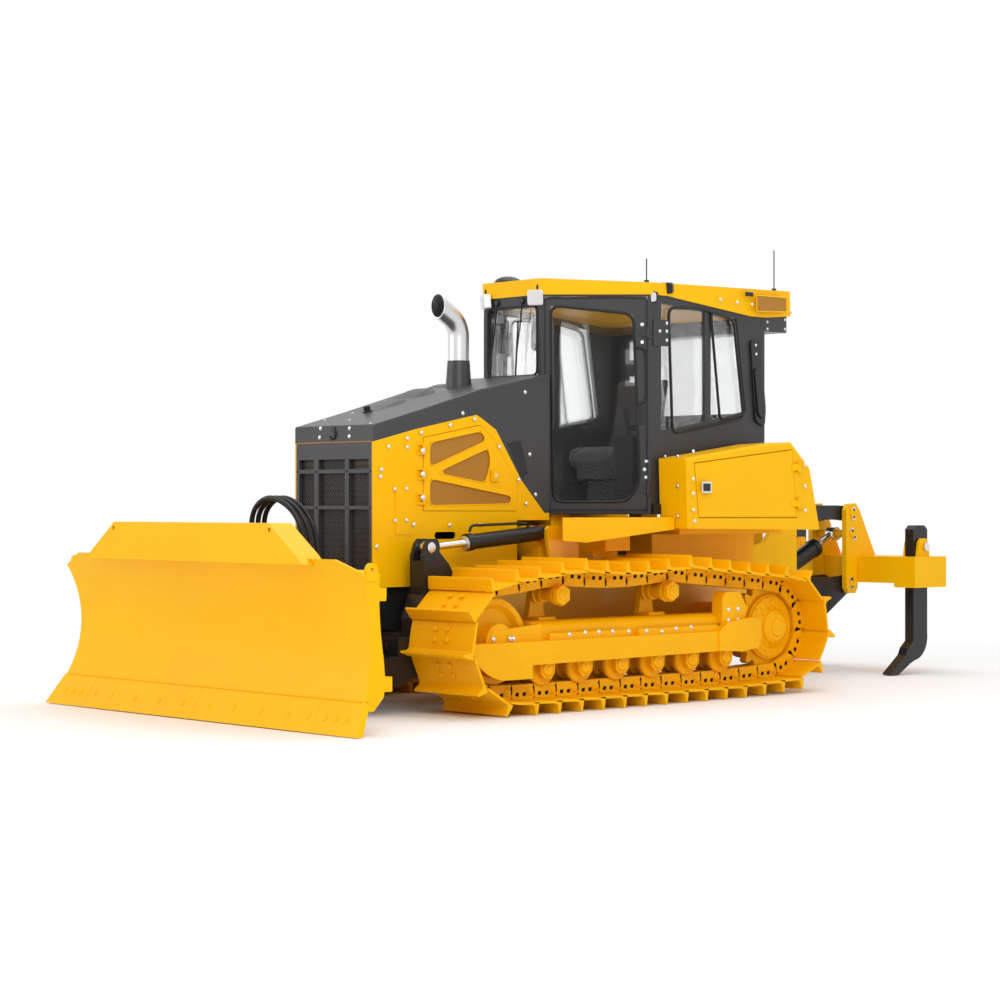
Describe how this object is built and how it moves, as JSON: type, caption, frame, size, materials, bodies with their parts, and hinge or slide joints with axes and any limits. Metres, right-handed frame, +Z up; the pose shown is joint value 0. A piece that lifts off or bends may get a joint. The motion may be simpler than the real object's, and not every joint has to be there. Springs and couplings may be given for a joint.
{
  "type": "bulldozer",
  "caption": "Tracked bulldozer with a six-way front blade on a push frame, an enclosed cab, rear tanks and a parallelogram ripper.",
  "frame": {"origin": "on the ground under the middle of the machine's length and width", "axes": "+X forward towards the blade, +Y to the machine's left, +Z up"},
  "size_m": [6.234, 3.0458, 2.9654],
  "materials": {
    "yellow_paint": "gloss",
    "black_paint": "satin",
    "bright_steel": "polished",
    "dark_plastic": "matte",
    "cab_glass": "clear",
    "seat_fabric": "woven",
    "hose_rubber": "matte",
    "cast_metal": "rough",
    "exhaust_steel": "brushed"
  },
  "bodies": {
    "machine": {"track_left": "yellow_paint", "track_right": "yellow_paint", "sprockets": "yellow_paint", "idlers": "yellow_paint", "rollers": "yellow_paint", "track_frames": "yellow_paint", "main_frame": "black_paint", "hood": "black_paint", "side_panel_left": "yellow_paint", "side_panel_right": "yellow_paint", "front_grille": "black_paint", "engine": "cast_metal", "exhaust_stack": "exhaust_steel", "cab_frame": "black_paint", "cab_roof": "yellow_paint", "roof_intake": "black_paint", "roof_fittings": "black_paint", "cab_glass": "cab_glass", "seat": "seat_fabric", "consoles": "dark_plastic", "rear_tank_left": "yellow_paint", "rear_tank_right": "yellow_paint", "platforms": "yellow_paint", "ripper_tower": "yellow_paint"},
    "engine_door_left": {"engine_door_left": "yellow_paint"},
    "engine_door_right": {"engine_door_right": "yellow_paint"},
    "door_left": {"door_left": "black_paint", "door_glass_left": "cab_glass"},
    "door_right": {"door_right": "black_paint", "door_glass_right": "cab_glass"},
    "access_door_left": {"access_door_left": "yellow_paint"},
    "access_door_right": {"access_door_right": "yellow_paint"},
    "push_frame": {"push_frame": "black_paint", "hose_1": "hose_rubber", "hose_2": "hose_rubber", "hose_3": "hose_rubber"},
    "blade_swivel": {"blade_swivel": "black_paint"},
    "blade": {"blade": "yellow_paint", "cutting_edge": "yellow_paint"},
    "lift_barrel_left": {"lift_barrel_left": "black_paint"},
    "lift_rod_left": {"lift_rod_left": "bright_steel"},
    "lift_barrel_right": {"lift_barrel_right": "black_paint"},
    "lift_rod_right": {"lift_rod_right": "bright_steel"},
    "angle_barrel_left": {"angle_barrel_left": "black_paint"},
    "angle_rod_left": {"angle_rod_left": "bright_steel"},
    "angle_barrel_right": {"angle_barrel_right": "black_paint"},
    "angle_rod_right": {"angle_rod_right": "bright_steel"},
    "tilt_barrel": {"tilt_barrel": "black_paint"},
    "tilt_rod": {"tilt_rod": "bright_steel"},
    "ripper_lower_link": {"ripper_lower_link": "black_paint"},
    "ripper_upper_link": {"ripper_upper_link": "black_paint"},
    "ripper_carriage": {"ripper_carriage": "yellow_paint", "ripper_shanks": "black_paint"},
    "ripper_barrel": {"ripper_barrel": "black_paint"},
    "ripper_rod": {"ripper_rod": "bright_steel"}
  },
  "joints": [
    {"name": "frame_lift", "type": "hinge", "parent": "machine", "child": "push_frame", "pos_m": [1.5, 0, 0.45], "axis": [0, -1, 0], "range_deg": [-16, 23]},
    {"name": "lift_barrel_left_pivot", "type": "hinge", "parent": "machine", "child": "lift_barrel_left", "pos_m": [0.8, 0.54, 1.06], "axis": [0, -1, 0], "range_deg": [-4.16, 5.54]},
    {"name": "lift_rod_left_slide", "type": "slide", "parent": "lift_barrel_left", "child": "lift_rod_left", "axis": [0.9963, 0, -0.0861], "range_m": [-0.224, 0.156]},
    {"name": "lift_barrel_right_pivot", "type": "hinge", "parent": "machine", "child": "lift_barrel_right", "pos_m": [0.8, -0.54, 1.06], "axis": [0, -1, 0], "range_deg": [-4.16, 5.54]},
    {"name": "lift_rod_right_slide", "type": "slide", "parent": "lift_barrel_right", "child": "lift_rod_right", "axis": [0.9963, 0, -0.0861], "range_m": [-0.224, 0.156]},
    {"name": "blade_angle", "type": "hinge", "parent": "push_frame", "child": "blade_swivel", "pos_m": [2.5, 0, 0.26], "axis": [0, 0, 1], "range_deg": [-23, 23]},
    {"name": "angle_barrel_left_pivot", "type": "hinge", "parent": "push_frame", "child": "angle_barrel_left", "pos_m": [1.99, 0.43, 0.4], "axis": [0, 0, 1], "range_deg": [-3.63, 3.63]},
    {"name": "angle_rod_left_slide", "type": "slide", "parent": "angle_barrel_left", "child": "angle_rod_left", "axis": [0.9884, -0.1521, 0], "range_m": [-0.139, 0.139]},
    {"name": "angle_barrel_right_pivot", "type": "hinge", "parent": "push_frame", "child": "angle_barrel_right", "pos_m": [1.99, -0.43, 0.4], "axis": [0, 0, 1], "range_deg": [-3.63, 3.63]},
    {"name": "angle_rod_right_slide", "type": "slide", "parent": "angle_barrel_right", "child": "angle_rod_right", "axis": [0.9884, 0.1521, 0], "range_m": [-0.139, 0.139]},
    {"name": "blade_tilt", "type": "hinge", "parent": "blade_swivel", "child": "blade", "pos_m": [2.78, 0, 0.45], "axis": [1, 0, 0], "range_deg": [-8, 8]},
    {"name": "tilt_barrel_pivot", "type": "hinge", "parent": "blade_swivel", "child": "tilt_barrel", "pos_m": [2.76, -0.26, 0.7], "axis": [1, 0, 0], "range_deg": [-5.72, 5.72]},
    {"name": "tilt_rod_slide", "type": "slide", "parent": "tilt_barrel", "child": "tilt_rod", "axis": [0, 0.9977, 0.0676], "range_m": [-0.039, 0.039]},
    {"name": "ripper_lift", "type": "hinge", "parent": "machine", "child": "ripper_lower_link", "pos_m": [-1.98, 0, 0.648], "axis": [0, 1, 0], "range_deg": [-35, 40]},
    {"name": "ripper_upper_pivot", "type": "hinge", "parent": "machine", "child": "ripper_upper_link", "pos_m": [-1.98, 0, 1.165], "axis": [0, 1, 0], "range_deg": [-36, 41]},
    {"name": "ripper_carriage_pivot", "type": "hinge", "parent": "ripper_lower_link", "child": "ripper_carriage", "pos_m": [-2.68, 0, 0.648], "axis": [0, 1, 0], "range_deg": [-41, 36]},
    {"name": "ripper_barrel_pivot", "type": "hinge", "parent": "machine", "child": "ripper_barrel", "pos_m": [-2, 0, 0.7], "axis": [0, 1, 0], "range_deg": [-31.24, 35.56]},
    {"name": "ripper_rod_slide", "type": "slide", "parent": "ripper_barrel", "child": "ripper_rod", "axis": [-0.9069, 0, 0.4214], "range_m": [-0.172, 0.196]},
    {"name": "cab_door_left", "type": "hinge", "parent": "machine", "child": "door_left", "pos_m": [0.0827, 0.74786, 1.8], "axis": [0, 0, 1], "range_deg": [0, 110]},
    {"name": "engine_door_left_swing", "type": "hinge", "parent": "machine", "child": "engine_door_left", "pos_m": [1.664, 0.392, 1.42], "axis": [0, 0, -1], "range_deg": [0, 100]},
    {"name": "access_door_left_swing", "type": "hinge", "parent": "machine", "child": "access_door_left", "pos_m": [-1.086, 1.017, 1.36], "axis": [0, 0, 1], "range_deg": [0, 110]},
    {"name": "cab_door_right", "type": "hinge", "parent": "machine", "child": "door_right", "pos_m": [0.0827, -0.74786, 1.8], "axis": [0, 0, -1], "range_deg": [0, 110]},
    {"name": "engine_door_right_swing", "type": "hinge", "parent": "machine", "child": "engine_door_right", "pos_m": [1.664, -0.392, 1.42], "axis": [0, 0, 1], "range_deg": [0, 100]},
    {"name": "access_door_right_swing", "type": "hinge", "parent": "machine", "child": "access_door_right", "pos_m": [-1.086, -1.017, 1.36], "axis": [0, 0, -1], "range_deg": [0, 110]}
  ],
  "couplings": [
    {"joint": "lift_barrel_left_pivot", "follows": "frame_lift", "ratio": 0.1975},
    {"joint": "lift_rod_left_slide", "follows": "frame_lift", "m_per_rad": -0.552},
    {"joint": "lift_barrel_right_pivot", "follows": "frame_lift", "ratio": 0.1975},
    {"joint": "lift_rod_right_slide", "follows": "frame_lift", "m_per_rad": -0.552},
    {"joint": "angle_barrel_left_pivot", "follows": "blade_angle", "ratio": 0.1145},
    {"joint": "angle_rod_left_slide", "follows": "blade_angle", "m_per_rad": -0.341},
    {"joint": "angle_barrel_right_pivot", "follows": "blade_angle", "ratio": 0.1145},
    {"joint": "angle_rod_right_slide", "follows": "blade_angle", "m_per_rad": 0.341},
    {"joint": "tilt_barrel_pivot", "follows": "blade_tilt", "ratio": 0.5905},
    {"joint": "tilt_rod_slide", "follows": "blade_tilt", "m_per_rad": -0.267},
    {"joint": "ripper_upper_pivot", "follows": "ripper_lift", "ratio": 1},
    {"joint": "ripper_carriage_pivot", "follows": "ripper_lift", "ratio": -1},
    {"joint": "ripper_barrel_pivot", "follows": "ripper_lift", "ratio": 0.864},
    {"joint": "ripper_rod_slide", "follows": "ripper_lift", "m_per_rad": 0.278}
  ]
}
